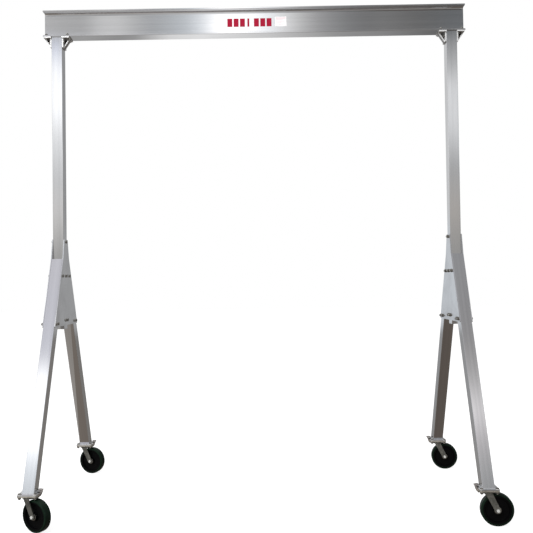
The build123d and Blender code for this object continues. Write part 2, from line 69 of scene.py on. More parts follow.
# ---- materials ------------------------------------------------------------------------------
class Nodes:
    """Short calls for the nodes that the materials and the surround use."""

    def __init__(self, tree):
        self.tree = tree

    def link(self, source, target):
        self.tree.links.new(source, target)

    def maths(self, operation, first, second=0.0):
        node = self.tree.nodes.new("ShaderNodeMath")
        node.operation = operation
        for socket, value in zip(node.inputs, (first, second)):
            if isinstance(value, (int, float)):
                socket.default_value = value
            else:
                self.link(value, socket)
        return node.outputs["Value"]

    def blend(self, factor, first, second):
        """A colour between two colours or colour sockets."""
        node = self.tree.nodes.new("ShaderNodeMix")
        node.data_type = "RGBA"
        self.link(factor, node.inputs["Factor"])
        for socket, value in zip((node.inputs[6], node.inputs[7]), (first, second)):
            if isinstance(value, tuple):
                socket.default_value = (*value, 1.0)
            else:
                self.link(value, socket)
        return node.outputs[2]


class Recipe(Nodes):
    """A node material on the object's own coordinates."""

    def __init__(self, name):
        self.material = bpy.data.materials.new(name)
        self.material.use_nodes = True
        super().__init__(self.material.node_tree)
        self.shader = self.tree.nodes["Principled BSDF"]
        self.coords = self.tree.nodes.new("ShaderNodeTexCoord").outputs["Object"]

    def turned(self, about_x, scale):
        """Object coordinates turned about X, then scaled along each axis."""
        turn = self.tree.nodes.new("ShaderNodeMapping")
        turn.inputs["Rotation"].default_value = (about_x, 0, 0)
        self.link(self.coords, turn.inputs["Vector"])
        stretch = self.tree.nodes.new("ShaderNodeMapping")
        stretch.inputs["Scale"].default_value = scale
        self.link(turn.outputs["Vector"], stretch.inputs["Vector"])
        return stretch.outputs["Vector"]

    def noise(self, vector, scale, detail=3.0, roughness=0.5, distortion=0.0):
        node = self.tree.nodes.new("ShaderNodeTexNoise")
        node.inputs["Scale"].default_value = scale
        node.inputs["Detail"].default_value = detail
        node.inputs["Roughness"].default_value = roughness
        node.inputs["Distortion"].default_value = distortion
        self.link(vector, node.inputs["Vector"])
        return node.outputs["Fac"]

    def spread(self, value, low, high, from_low=0.3, from_high=0.7):
        """A value stretched from one range to another."""
        node = self.tree.nodes.new("ShaderNodeMapRange")
        node.inputs["From Min"].default_value = from_low
        node.inputs["From Max"].default_value = from_high
        node.inputs["To Min"].default_value = low
        node.inputs["To Max"].default_value = high
        self.link(value, node.inputs["Value"])
        return node.outputs["Result"]

    def bump(self, height, strength, distance, below=None):
        node = self.tree.nodes.new("ShaderNodeBump")
        node.inputs["Strength"].default_value = strength
        node.inputs["Distance"].default_value = distance
        self.link(height, node.inputs["Height"])
        if below is not None:
            self.link(below, node.inputs["Normal"])
        return node.outputs["Normal"]

    def surface(self, colour=None, roughness=None, normal=None, **constants):
        for name, value in constants.items():
            self.shader.inputs[name.replace("_", " ")].default_value = value
        if colour is not None:
            self.link(colour, self.shader.inputs["Base Color"])
        if roughness is not None:
            self.link(roughness, self.shader.inputs["Roughness"])
        if normal is not None:
            self.link(normal, self.shader.inputs["Normal"])
        return self.material


def extruded_aluminium(name, along, about_x=0.0, bright=(0.82, 0.83, 0.85), dull=(0.72, 0.73, 0.75),
                       smooth=0.05, rough=0.12):
    """Mill finish: fine die lines along the extrusion, faint handling marks and a few scratches."""
    recipe = Recipe(name)
    fine = tuple(0.8 if axis == along else 300.0 for axis in "XYZ")
    wide = tuple(0.25 if axis == along else 55.0 for axis in "XYZ")
    lines = recipe.noise(recipe.turned(about_x, fine), 1.0, 4.0, 0.6)
    bands = recipe.noise(recipe.turned(about_x, wide), 1.0, 3.0, 0.5)
    smear_scale = tuple(0.9 if axis == along else 20.0 for axis in "XYZ")
    smear = recipe.noise(recipe.turned(about_x, smear_scale), 1.0, 5.0, 0.62, 0.3)
    scratch_scale = tuple(14.0 if axis == along else 420.0 for axis in "XYZ")
    scratch = recipe.noise(recipe.turned(about_x + 0.12, scratch_scale), 1.0, 1.0, 0.4)
    scratches = recipe.spread(scratch, 0.0, 1.0, 0.72, 0.77)
    tone = recipe.maths("ADD", recipe.maths("MULTIPLY", bands, 0.6), recipe.maths("MULTIPLY", smear, 0.4))
    tone = recipe.spread(tone, 0.0, 1.0, 0.34, 0.66)
    colour = recipe.blend(tone, dull, bright)
    colour = recipe.blend(recipe.maths("MULTIPLY", scratches, 0.25), colour, (0.93, 0.94, 0.95))
    gloss = recipe.maths("ADD", recipe.maths("MULTIPLY", smear, 0.5), recipe.maths("MULTIPLY", lines, 0.5))
    gloss = recipe.spread(gloss, rough, smooth, 0.32, 0.68)
    height = recipe.maths("ADD", recipe.maths("MULTIPLY", lines, 0.4), recipe.maths("MULTIPLY", bands, 0.6))
    normal = recipe.bump(height, 0.05, 0.0004)
    normal = recipe.bump(scratches, 0.05, 0.0002, normal)
    return recipe.surface(colour, gloss, normal, Metallic=1.0)


def bracket_aluminium(name, middle):
    """Dull bright straps, with painted shade either side of the middle plate: near black colour where the
    recess lies in shade.
    """
    recipe = Recipe(name)
    cloud = recipe.noise(recipe.coords, 60.0, 5.0, 0.6, 0.4)
    grain = recipe.noise(recipe.turned(0.0, (420.0, 30.0, 420.0)), 1.0, 3.0, 0.6)
    split = recipe.tree.nodes.new("ShaderNodeSeparateXYZ")
    recipe.link(recipe.coords, split.inputs["Vector"])
    # painted shade: the colour turns near black within about 6 to 10 mm of the middle plate, where the recess
    # is shaded
    depth = recipe.maths("ABSOLUTE", recipe.maths("SUBTRACT", split.outputs["Y"], middle))
    ragged = recipe.maths("ADD", depth, recipe.maths("MULTIPLY", cloud, 0.004))
    painted_hollow_shade = recipe.spread(ragged, 1.0, 0.0, 0.0055, 0.0095)
    colour = recipe.blend(recipe.spread(cloud, 0.0, 1.0, 0.35, 0.65), (0.78, 0.78, 0.77), (0.90, 0.90, 0.90))
    colour = recipe.blend(painted_hollow_shade, colour, (0.05, 0.045, 0.04))
    gloss = recipe.spread(cloud, 0.42, 0.26, 0.35, 0.65)
    return recipe.surface(colour, gloss, recipe.bump(grain, 0.1, 0.0003), Metallic=0.5)


def plate_aluminium(name):
    """Rolled plate: faint rolling grain, blotchy oxide and random handling scratches."""
    recipe = Recipe(name)
    grain = recipe.noise(recipe.turned(0.0, (300.0, 300.0, 9.0)), 1.0, 4.0, 0.6)
    cloud = recipe.noise(recipe.coords, 5.0, 5.0, 0.55, 0.6)
    steep = recipe.noise(recipe.turned(0.62, (300.0, 420.0, 5.0)), 1.0, 1.0, 0.4)
    flat = recipe.noise(recipe.turned(-0.9, (300.0, 360.0, 7.0)), 1.0, 1.0, 0.4)
    marks = recipe.maths(
        "MAXIMUM", recipe.spread(steep, 0.0, 1.0, 0.70, 0.77), recipe.spread(flat, 0.0, 1.0, 0.71, 0.78)
    )
    tone = recipe.spread(cloud, 0.0, 1.0, 0.36, 0.64)
    colour = recipe.blend(tone, (0.70, 0.71, 0.73), (0.78, 0.79, 0.81))
    colour = recipe.blend(recipe.maths("MULTIPLY", marks, 0.25), colour, (0.90, 0.90, 0.91))
    gloss = recipe.spread(cloud, 0.22, 0.13, 0.34, 0.66)
    normal = recipe.bump(grain, 0.04, 0.0003)
    normal = recipe.bump(marks, 0.06, 0.0002, normal)
    return recipe.surface(colour, gloss, normal, Metallic=1.0)


def zinc_plate(name, pale, dark, smooth, rough, metallic=1.0):
    """Zinc-plated steel: spangled grain, dull patches and dark grime."""
    recipe = Recipe(name)
    spangle = recipe.noise(recipe.coords, 220.0, 3.0, 0.6)
    patch = recipe.noise(recipe.coords, 34.0, 5.0, 0.6, 0.5)
    grime = recipe.noise(recipe.coords, 13.0, 6.0, 0.7)
    tone = recipe.spread(
        recipe.maths("ADD", recipe.maths("MULTIPLY", patch, 0.7), recipe.maths("MULTIPLY", spangle, 0.3)),
        0.0, 1.0, 0.36, 0.64,
    )
    colour = recipe.blend(tone, dark, pale)
    dirt = recipe.spread(grime, 0.0, 0.55, 0.54, 0.72)
    colour = recipe.blend(dirt, colour, tuple(0.3 * c for c in dark))
    gloss = recipe.spread(patch, rough, smooth, 0.36, 0.64)
    gloss = recipe.maths("ADD", gloss, recipe.maths("MULTIPLY", dirt, 0.3))
    normal = recipe.bump(spangle, 0.15, 0.0003)
    return recipe.surface(colour, gloss, normal, Metallic=metallic)


def moulded(name, deep, dusty, smooth, rough, dust_from, specular=0.25):
    """Moulded rubber or plastic: pores, mould flow and settled dust."""
    recipe = Recipe(name)
    pores = recipe.noise(recipe.coords, 420.0, 4.0, 0.6)
    flow = recipe.noise(recipe.coords, 26.0, 5.0, 0.65, 0.8)
    dust = recipe.spread(flow, 0.0, 1.0, dust_from, dust_from + 0.25)
    colour = recipe.blend(dust, deep, dusty)
    gloss = recipe.spread(flow, rough, smooth, 0.35, 0.65)
    normal = recipe.bump(pores, 0.25, 0.0004)
    normal = recipe.bump(flow, 0.15, 0.001, normal)
    return recipe.surface(colour, gloss, normal, Metallic=0.0, Specular_IOR_Level=specular)


def film(name, fresh, faded, roughness):
    """Adhesive vinyl film, slightly faded and wrinkled."""
    recipe = Recipe(name)
    fade = recipe.noise(recipe.coords, 45.0, 5.0, 0.6)
    ripple = recipe.noise(recipe.coords, 120.0, 2.0, 0.5)
    colour = recipe.blend(recipe.spread(fade, 0.0, 1.0, 0.35, 0.7), fresh, faded)
    gloss = recipe.spread(fade, roughness, roughness + 0.2, 0.3, 0.7)
    normal = recipe.bump(ripple, 0.2, 0.0003)
    return recipe.surface(colour, gloss, normal, Metallic=0.0, Specular_IOR_Level=0.2)


FOOT_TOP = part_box("leg_front_left")[0].z + FOOT_PLATE
HALF_TUBE = (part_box("post_left")[1].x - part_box("post_left")[0].x) / 2


def tube_foot(node):
    """Low and high Y of a leg's tube where it stands on its foot plate."""
    middle = middle_of(node).x
    reach = HALF_TUBE + SAME
    level = [p for p in points_of(node) if abs(p.z - FOOT_TOP) < SAME]
    ring = [p.y for p in level if abs(p.x - middle) < reach]
    return min(ring), max(ring)


def front_leg_lean():
    """Angle from the vertical to a front leg's run."""
    leg = "leg_front_left"
    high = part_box(leg)[1].z
    top = min(p.y for p in points_of(leg) if p.z > high - SAME)
    return math.atan2(top - tube_foot(leg)[0], high - FOOT_TOP)


BEAM_METAL = extruded_aluminium(
    "beam_aluminium", "X", bright=(0.82, 0.82, 0.83), dull=(0.76, 0.76, 0.77), smooth=0.04, rough=0.09,
)
POST_METAL = extruded_aluminium("post_aluminium", "Z")
PLATE_METAL = plate_aluminium("plate_aluminium")
BRACKET_METAL = bracket_aluminium("bracket_aluminium", MID_SPAN.y)
FASTENER_ZINC = zinc_plate("fastener_zinc", (0.46, 0.44, 0.40), (0.12, 0.11, 0.10), 0.14, 0.3)
PLATE_ZINC = zinc_plate("caster_plate_zinc", (0.80, 0.76, 0.68), (0.42, 0.39, 0.33), 0.14, 0.3, 0.8)
AXLE_ZINC = zinc_plate("axle_zinc", (0.92, 0.92, 0.90), (0.70, 0.69, 0.66), 0.12, 0.26, 0.45)
CASTER_ZINC = zinc_plate("caster_zinc", (0.34, 0.34, 0.31), (0.17, 0.17, 0.155), 0.34, 0.55)
LEVER_ZINC = zinc_plate("lever_zinc", (0.60, 0.55, 0.53), (0.26, 0.24, 0.23), 0.3, 0.5, 0.7)
BEARING_STEEL = zinc_plate("bearing_steel", (0.7, 0.7, 0.7), (0.4, 0.38, 0.34), 0.15, 0.3)
TREAD = moulded("green_tread", (0.0022, 0.0095, 0.0046), (0.006, 0.018, 0.010), 0.28, 0.45, 0.5, 0.16)
CORE = moulded("black_core", (0.0012, 0.0012, 0.0014), (0.004, 0.004, 0.004), 0.42, 0.6, 0.6, 0.1)
RED_FILM = film("red_film", (0.29, 0.004, 0.024), (0.36, 0.010, 0.036), 0.3)
WHITE_FILM = film("white_film", (0.86, 0.85, 0.84), (0.78, 0.74, 0.73), 0.35)
PINK_INK = film("pink_ink", (0.80, 0.36, 0.42), (0.86, 0.58, 0.62), 0.4)
WELD_METAL = plate_aluminium("weld_aluminium")
SEAL_RUBBER = moulded("seal_rubber", (0.01, 0.01, 0.01), (0.03, 0.03, 0.03), 0.4, 0.6, 0.5)


def dress(node, material):
    for slot in NODES[node].material_slots:
        slot.material = material


def dress_all():
    dress("i_beam", BEAM_METAL)
    dress("capacity_marking", RED_FILM)
    dress("inspection_label", WHITE_FILM)
    for group in ("flange_bolts", "post_bolts", "foot_bolts", "lever_pins"):
        dress(group, FASTENER_ZINC)
    for hand in HANDS:
        dress(f"post_{hand}", POST_METAL)
        dress(f"gusset_bolts_{hand}", FASTENER_ZINC)
        for face in FACES:
            dress(f"gusset_{hand}_{face}", PLATE_METAL)
            dress(f"corner_bracket_{hand}_{face}", BRACKET_METAL)
    lean = front_leg_lean()
    front = extruded_aluminium("front_leg_aluminium", "Z", about_x=lean)
    rear = extruded_aluminium("rear_leg_aluminium", "Z", about_x=-lean)
    for corner in CORNERS:
        dress(f"leg_{corner}", front if corner.startswith("front") else rear)
        dress(f"caster_plate_{corner}", PLATE_ZINC)
        dress(f"kingpin_{corner}", FASTENER_ZINC)
        dress(f"swivel_balls_{corner}", BEARING_STEEL)
        dress(f"roller_bearing_{corner}", BEARING_STEEL)
        dress(f"axle_{corner}", AXLE_ZINC)
        dress(f"fork_{corner}", CASTER_ZINC)
        dress(f"lock_lever_{corner}", LEVER_ZINC)
        dress(f"wheel_core_{corner}", CORE)
        dress(f"wheel_tread_{corner}", TREAD)


dress_all()


# ---- detail pieces ---------------------------------------------------------------------------
SHARP_FROM = math.radians(40)


def add_piece(name, mesh_data, material, body):
    """A new visible object from (vertices, faces) that moves with a body."""
    vertices, faces = mesh_data
    mesh = bpy.data.meshes.new(name)
    mesh.from_pydata([tuple(v) for v in vertices], [], faces)
    tidy = bmesh.new()
    tidy.from_mesh(mesh)
    bmesh.ops.recalc_face_normals(tidy, faces=tidy.faces)
    tidy.to_mesh(mesh)
    tidy.free()
    mesh.polygons.foreach_set("use_smooth", [True] * len(mesh.polygons))
    mesh.set_sharp_from_angle(angle=SHARP_FROM)
    mesh.materials.append(material)
    piece = bpy.data.objects.new(name, mesh)
    bpy.context.scene.collection.objects.link(piece)
    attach(piece, body)


def joined(parts):
    """One (vertices, faces) from several."""
    vertices, faces = [], []
    for some_vertices, some_faces in parts:
        start = len(vertices)
        vertices += some_vertices
        faces += [tuple(start + i for i in face) for face in some_faces]
    return vertices, faces


def lathe(centre, axis, profile, around=64):
    """A closed ring or disc: (radius, offset along the axis) points turned about the axis."""
    spin = UP.rotation_difference(axis).to_matrix()
    count = len(profile)
    vertices = []
    for i in range(around):
        angle = 2 * math.pi * i / around
        for radius, offset in profile:
            local = Vector((radius * math.cos(angle), radius * math.sin(angle), offset))
            vertices.append(centre + spin @ local)
    faces = []
    for i in range(around):
        for j in range(count):
            here, there = i * count, (i + 1) % around * count
            k = (j + 1) % count
            faces.append((here + j, there + j, there + k, here + k))
    return vertices, faces


def round_ring(centre, axis, radius, thickness, around=64):
    """A torus about the axis, with a few-sided section."""
    sides = 8
    turns = [2 * math.pi * (i + 0.5) / sides for i in range(sides)]
    profile = [(radius + thickness * math.cos(t), thickness * math.sin(t)) for t in turns]
    return lathe(centre, axis, profile, around)


BEAD_SIDES = 10
BEAD_RIPPLE = 0.16
RIPPLE_STEP = 1.9           # radians of ripple from one point of the path to the next
BEAD_WOBBLE = 0.05
BEAD_PITCH = 0.0022
TILTED = Vector((0.31, 0.23, 0.92))     # no bead runs this way, so it gives each bead a sideways direction


def weld_bead(path, radius, closed):
    """A rippled bead along a path of points."""
    sides = BEAD_SIDES
    vertices = []
    count = len(path)
    for i, point in enumerate(path):
        ahead = path[(i + 1) % count] if closed or i < count - 1 else point
        behind = path[i - 1] if closed or i > 0 else point
        run = (ahead - behind).normalized()
        side = run.cross(TILTED).normalized()
        lift = run.cross(side)
        ripple = BEAD_RIPPLE * math.sin(i * RIPPLE_STEP)
        size = radius * (1 + ripple + random.uniform(-BEAD_WOBBLE, BEAD_WOBBLE))
        for j in range(sides):
            angle = 2 * math.pi * j / sides
            vertices.append(point + size * (math.cos(angle) * side + math.sin(angle) * lift))
    faces = []
    for i in range(count if closed else count - 1):
        here, there = i * sides, (i + 1) % count * sides
        for j in range(sides):
            k = (j + 1) % sides
            faces.append((here + j, there + j, there + k, here + k))
    if not closed:
        faces.append(tuple(range(sides)))
        faces.append(tuple((count - 1) * sides + j for j in range(sides)))
    return vertices, faces


def stepped(corners, pitch):
    """Points every pitch along a closed run of straight lines."""
    points = []
    for i, start in enumerate(corners):
        end = corners[(i + 1) % len(corners)]
        steps = max(2, round((end - start).length / pitch))
        points += [start.lerp(end, k / steps) for k in range(steps)]
    return points


def solids_of(node):
    """The separate solids of a node, each as a list of points."""
    mesh = bmesh.new()
    mesh.from_mesh(NODES[node].data)
    bmesh.ops.remove_doubles(mesh, verts=mesh.verts, dist=1e-6)
    seen = set()
    solids = []
    for start in mesh.verts:
        if start in seen:
            continue
        seen.add(start)
        stack, points = [start], []
        while stack:
            vertex = stack.pop()
            points.append(vertex.co.copy())
            for edge in vertex.link_edges:
                other = edge.other_vert(vertex)
                if other not in seen:
                    seen.add(other)
                    stack.append(other)
        solids.append(points)
    mesh.free()
    return solids


def box_of(points):
    low = Vector(min(p[i] for p in points) for i in range(3))
    high = Vector(max(p[i] for p in points) for i in range(3))
    return low, high


BOLT_HEAD = 0.0075
BOLT_RADIUS = 0.006
SHORTEST_BOLT = 0.03        # anything shorter in a bolts node is a nut
WASHER_BORE = 0.0062
WASHER_RIM = 0.0118
WASHER_THICKNESS = 0.0016
WASHER_CHAMFER = 0.0005
THREAD_START = 0.0008
THREAD_PITCH = 0.0012
THREAD_DEPTH = 0.0004
THREAD_SINK = 0.0001


def washer_profile():
    edge = WASHER_THICKNESS - WASHER_CHAMFER
    return [
        (WASHER_BORE, 0.0), (WASHER_RIM, 0.0), (WASHER_RIM, edge),
        (WASHER_RIM - WASHER_CHAMFER, WASHER_THICKNESS), (WASHER_BORE, WASHER_THICKNESS),
    ]


def towards_head(points, centre, along):
    """1 or -1: the way along an axis in which a bolt's head lies."""
    wide = 0.0
    for offset in (p - centre for p in points):
        if (offset - AXES[along] * offset[along]).length > 1.2 * BOLT_RADIUS:
            wide += offset[along]
    return 1 if wide > 0 else -1


def bolt_trim(node):
    """A washer under each bolt's head and turned thread on its free end."""
    parts = []
    for points in solids_of(node):
        low, high = box_of(points)
        size = high - low
        along = max(range(3), key=lambda i: size[i])
        if size[along] < SHORTEST_BOLT:
            continue
        centre = (low + high) / 2
        axis = AXES[along] * towards_head(points, centre, along)
        seat = centre + axis * (size[along] / 2 - BOLT_HEAD)
        tail = centre - axis * size[along] / 2
        parts.append(lathe(seat, axis, washer_profile(), 32))
        for turn in range(3):
            ring = tail + axis * (THREAD_START + THREAD_PITCH * turn)
            parts.append(round_ring(ring, axis, BOLT_RADIUS - THREAD_SINK, THREAD_DEPTH, 24))
    return joined(parts)


def add_bolt_trim():
    for node in ("flange_bolts", "post_bolts", "foot_bolts", "gusset_bolts_left", "gusset_bolts_right"):
        add_piece(f"{node}_trim", bolt_trim(node), AXLE_ZINC, "frame")


FOOT_BEAD = 0.0034
BRACKET_BEAD = 0.0022
BRACKET_THICKNESS = 0.010
BRACKET_WEB = 0.006
BEAD_SINK = 0.001
ACROSS_START = 0.0185       # the bead across a strap starts this far in front of the beam's middle
ACROSS_RISE = 0.0115        # and this far above the bracket's lowest point
UPRIGHT_POINTS = 25
LEVEL_POINTS = 15
ACROSS_POINTS = 18


def add_foot_welds():
    """A fillet weld round each leg's foot."""
    for corner in CORNERS:
        leg = f"leg_{corner}"
        middle = middle_of(leg).x
        front, rear = tube_foot(leg)
        outline = [
            Vector((middle - HALF_TUBE, front, FOOT_TOP)), Vector((middle + HALF_TUBE, front, FOOT_TOP)),
            Vector((middle + HALF_TUBE, rear, FOOT_TOP)), Vector((middle - HALF_TUBE, rear, FOOT_TOP)),
        ]
        bead = weld_bead(stepped(outline, BEAD_PITCH), FOOT_BEAD, True)
        add_piece(f"foot_weld_{corner}", bead, WELD_METAL, "frame")


def straight_bead(start, way, points):
    """A bead of so many points from a start, along a unit vector."""
    path = [start + way * BEAD_PITCH * k for k in range(points)]
    return weld_bead(path, BRACKET_BEAD, False)


def bracket_beads(node, post):
    """Welds either side of a corner bracket's web and across the foot of its upright strap."""
    low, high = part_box(node)
    away = 1 if middle_of(node).x > post else -1
    wall = post + away * (HALF_TUBE + BRACKET_THICKNESS - BEAD_SINK)
    under = high.z - BRACKET_THICKNESS + BEAD_SINK
    beads = []
    for way in (-1, 1):
        corner = Vector((wall, MID_SPAN.y + way * BRACKET_WEB / 2, under))
        beads.append(straight_bead(corner, -UP, UPRIGHT_POINTS))
        beads.append(straight_bead(corner, AXES[0] * away, LEVEL_POINTS))
    foot = Vector((wall, MID_SPAN.y - ACROSS_START, low.z + ACROSS_RISE))
    beads.append(straight_bead(foot, AXES[1], ACROSS_POINTS))
    return joined(beads)


def add_bracket_welds():
    for hand in HANDS:
        post = middle_of(f"post_{hand}").x
        for face in FACES:
            beads = bracket_beads(f"corner_bracket_{hand}_{face}", post)
            add_piece(f"bracket_weld_{hand}_{face}", beads, WELD_METAL, "frame")


def joint_of(kind, corner):
    """World position and axis of one of a caster's joints."""
    for joint in frame["record"]["behaviour"]["joints"]:
        if joint["name"] == f"{kind}_{corner}":
            return Vector(joint["pos_m"]), Vector(joint["axis"])


SHIELD_PROFILE = ((0.0108, 0.0286), (0.0212, 0.0286), (0.0212, 0.0294), (0.0196, 0.0304), (0.0108, 0.0304))

# raised rings on each side of a wheel: offset from its middle, radius, thickness, straight sides
TREAD_RINGS = ((0.0253, 0.0905, 0.0007, 96),)
CORE_RINGS = ((0.0234, 0.0825, 0.0009, 96), (0.0108, 0.044, 0.0012, 72), (0.0097, 0.060, 0.0010, 84))


def rings_on_both_sides(centre, axis, rings):
    parts = []
    for way in (-1, 1):
        out = axis * way
        for offset, radius, thickness, around in rings:
            parts.append(round_ring(centre + out * offset, out, radius, thickness, around))
    return joined(parts)


def add_wheel_details():
    """Bearing dust washers, and raised rings on the tread's sides and on the wheel's disc."""
    for corner in CORNERS:
        centre, axis = joint_of("roll", corner)
        body = f"wheel_{corner}"
        shields = joined([lathe(centre, axis * way, SHIELD_PROFILE, 48) for way in (-1, 1)])
        tread = rings_on_both_sides(centre, axis, TREAD_RINGS)
        core = rings_on_both_sides(centre, axis, CORE_RINGS)
        add_piece(f"bearing_shields_{corner}", shields, FASTENER_ZINC, body)
        add_piece(f"tread_rings_{corner}", tread, TREAD, body)
        add_piece(f"core_rings_{corner}", core, CORE, body)


SEAL_RADIUS = 0.0375
SEAL_THICKNESS = 0.0012
CROWN_DROP = 0.007          # from the top of the swivel's balls down to the fork's crown
SEAL_SINK = 0.0001


def add_swivel_seals():
    """A dust seal on each fork's crown, round the caster plate's boss."""
    for corner in CORNERS:
        balls = f"swivel_balls_{corner}"
        centre = middle_of(balls)
        centre.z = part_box(balls)[1].z - CROWN_DROP + SEAL_THICKNESS - SEAL_SINK
        seal = round_ring(centre, UP, SEAL_RADIUS, SEAL_THICKNESS, 72)
        add_piece(f"swivel_seal_{corner}", seal, SEAL_RUBBER, f"fork_{corner}_swivel")


SLAB_CUT = 0.0006


def slab(x_span, y_span, z_span):
    """A thin raised block with slightly rounded corners seen from the front."""
    cut = SLAB_CUT
    (x0, x1), (y0, y1), (z0, z1) = x_span, y_span, z_span
    outline = [
        (x0 + cut, z0), (x1 - cut, z0), (x1, z0 + cut), (x1, z1 - cut),
        (x1 - cut, z1), (x0 + cut, z1), (x0, z1 - cut), (x0, z0 + cut),
    ]
    vertices = [Vector((x, y, z)) for y in (y0, y1) for x, z in outline]
    faces = [tuple(range(8)), tuple(range(15, 7, -1))]
    faces += [(i, i + 8, (i + 1) % 8 + 8, (i + 1) % 8) for i in range(8)]
    return vertices, faces


BAR_RISE = 0.0001
FIRST_BAR = 0.12            # shares of the label's height, from its top
BAR_SPACING = 0.17
# printed bars from the top down: start and end as shares of the label's width, thickness as one of its height
LABEL_BARS = (
    (0.08, 0.92, 0.075), (0.08, 0.70, 0.035), (0.08, 0.86, 0.035), (0.08, 0.58, 0.035),
    (0.30, 0.70, 0.035),
)


def add_label_print():
    """Faint printed bars on the inspection label, with no lettering."""
    low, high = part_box("inspection_label")
    width = high.x - low.x
    height = high.z - low.z
    depth = (low.y - BAR_RISE, low.y + BAR_RISE)
    bars = []
    for row, (start, end, thick) in enumerate(LABEL_BARS):
        top = high.z - height * (FIRST_BAR + BAR_SPACING * row)
        across = (low.x + width * start, low.x + width * end)
        bars.append(slab(across, depth, (top - height * thick, top)))
    add_piece("label_print", joined(bars), PINK_INK, "frame")


SHARP_NODES = ("wheel_tread", "swivel_balls", "roller_bearing", "capacity_marking", "inspection_label")
SMALL_NODES = ("axle", "lever_pins")
EDGE_WEAR = 0.0006
SMALL_EDGE_WEAR = 0.0003
WEAR_FROM = math.radians(50)
MERGE = 1e-5


def soften_edges():
    """Worn, slightly rounded edges on the plates, tubes, bolts and casters."""
    for name, node in NODES.items():
        if name.startswith(SHARP_NODES):
            continue
        small = "bolts" in name or name.startswith(SMALL_NODES)
        weld = node.modifiers.new("weld", "WELD")
        weld.merge_threshold = MERGE
        bevel = node.modifiers.new("worn_edges", "BEVEL")
        bevel.width = SMALL_EDGE_WEAR if small else EDGE_WEAR
        bevel.segments = 2
        bevel.limit_method = "ANGLE"
        bevel.angle_limit = WEAR_FROM
        bevel.harden_normals = False


add_bolt_trim()
add_foot_welds()
add_bracket_welds()
add_wheel_details()
add_swivel_seals()
add_label_print()
soften_edges()


# ---- studio: floor, light and camera ----------------------------------------------------------
FLOOR = 0.0
FLOOR_DROP = 0.0005
FLOOR_REACH = 30.0
FLOOR_GLOW = 1.5
FLOOR_GLOW_SHARE = 0.55


def make_floor():
    """A pale floor, partly glowing, so that it runs into the white surround."""
    reach = FLOOR_REACH
    mesh = bpy.data.meshes.new("floor")
    corners = [(-reach, -reach, 0), (reach, -reach, 0), (reach, reach, 0), (-reach, reach, 0)]
    mesh.from_pydata(corners, [], [(0, 1, 2, 3)])
    floor = bpy.data.objects.new("floor", mesh)
    floor.location.z = FLOOR - FLOOR_DROP
    bpy.context.scene.collection.objects.link(floor)
    material = bpy.data.materials.new("pale_floor")
    material.use_nodes = True
    tree = material.node_tree
    tree.nodes.clear()
    output = tree.nodes.new("ShaderNodeOutputMaterial")
    glow = tree.nodes.new("ShaderNodeEmission")
    matt = tree.nodes.new("ShaderNodeBsdfDiffuse")
    mix = tree.nodes.new("ShaderNodeMixShader")
    matt.inputs["Color"].default_value = (0.9, 0.9, 0.9, 1)
    glow.inputs["Strength"].default_value = FLOOR_GLOW
    mix.inputs["Fac"].default_value = 1 - FLOOR_GLOW_SHARE
    tree.links.new(glow.outputs[0], mix.inputs[1])
    tree.links.new(matt.outputs[0], mix.inputs[2])
    tree.links.new(mix.outputs[0], output.inputs[0])
    mesh.materials.append(material)
    floor.visible_glossy = False
    floor.visible_diffuse = False


def grey(level, blue=0.0):
    return (level * (1 - blue), level * (1 - blue / 2), level)


# The surround's tones as (degrees, colour). Turn is 0 behind the camera and grows towards +X, rise is 0 at
# the horizon. The ceiling and the two side walls go by rise, the rest by turn. These aren't a real or an
# invented room: they were worked back from tones read off the reference picture, so that the metal shows
# the same bands. This is an open failure. A plain surround can take their place.

# high behind the camera: what the beam's web shows
WINDOWS = (
    (-180, grey(0.50)), (-60, grey(0.6)), (-24, grey(0.55)), (-17.6, grey(0.52)),
    (-15.8, grey(0.41)), (-13.4, grey(0.76)), (-12, grey(0.60)), (-10.1, grey(0.44, 0.05)),
    (-7, grey(0.66, 0.10)), (-5.4, grey(1.0, 0.08)), (-4.6, grey(1.5)), (-2, grey(1.5)),
    (0, grey(1.15, 0.05)), (1.6, grey(0.85)), (3.6, grey(0.44)), (5.8, grey(0.30, 0.03)),
    (8, grey(0.19, 0.03)), (9.4, grey(0.22)), (13, grey(0.155)), (16, grey(0.17, 0.12)),
    (22, grey(0.2)), (60, grey(0.4)), (180, grey(0.5)),
)
# left and right of the camera: what the fronts of the posts and front legs show
LEFT_WALL = (
    (-90, (0.17, 0.15, 0.135)), (-47, (0.20, 0.17, 0.145)), (-20, (0.52, 0.50, 0.47)),
    (0, (0.36, 0.35, 0.335)), (2.3, (0.45, 0.44, 0.42)), (5.7, (0.73, 0.71, 0.69)),
    (8.6, grey(0.69)), (12.3, grey(1.02)), (14, grey(1.4)), (17, grey(1.3)),
    (18.1, (0.95, 0.98, 1.08)), (19, (0.72, 0.75, 0.86)), (24, grey(0.62, 0.06)),
    (27.5, grey(1.0, 0.08)), (29.5, grey(1.6)), (34, grey(1.5)), (36, (0.665, 0.665, 0.72)),
    (45, (0.66, 0.645, 0.68)), (90, grey(0.75)),
)
RIGHT_WALL = (
    (-90, (0.12, 0.10, 0.09)), (-47, (0.12, 0.10, 0.085)), (-20, (0.26, 0.24, 0.22)),
    (0, (0.33, 0.325, 0.31)), (2.3, (0.37, 0.36, 0.345)), (5.7, (0.48, 0.45, 0.42)),
    (9.1, grey(0.45)),
    (12.3, grey(0.80)), (15.4, grey(0.86)), (16.4, grey(0.64)), (18, grey(0.42)),
    (19.3, grey(0.35)), (23, grey(0.26)),
    (26.8, grey(0.42)), (29.3, (0.56, 0.535, 0.54)), (31.7, (0.88, 0.85, 0.85)),
    (34.4, (0.49, 0.475, 0.47)),
    (37.5, (0.335, 0.325, 0.325)),
    (50, grey(0.36, 0.04)), (90, grey(0.6)),
)
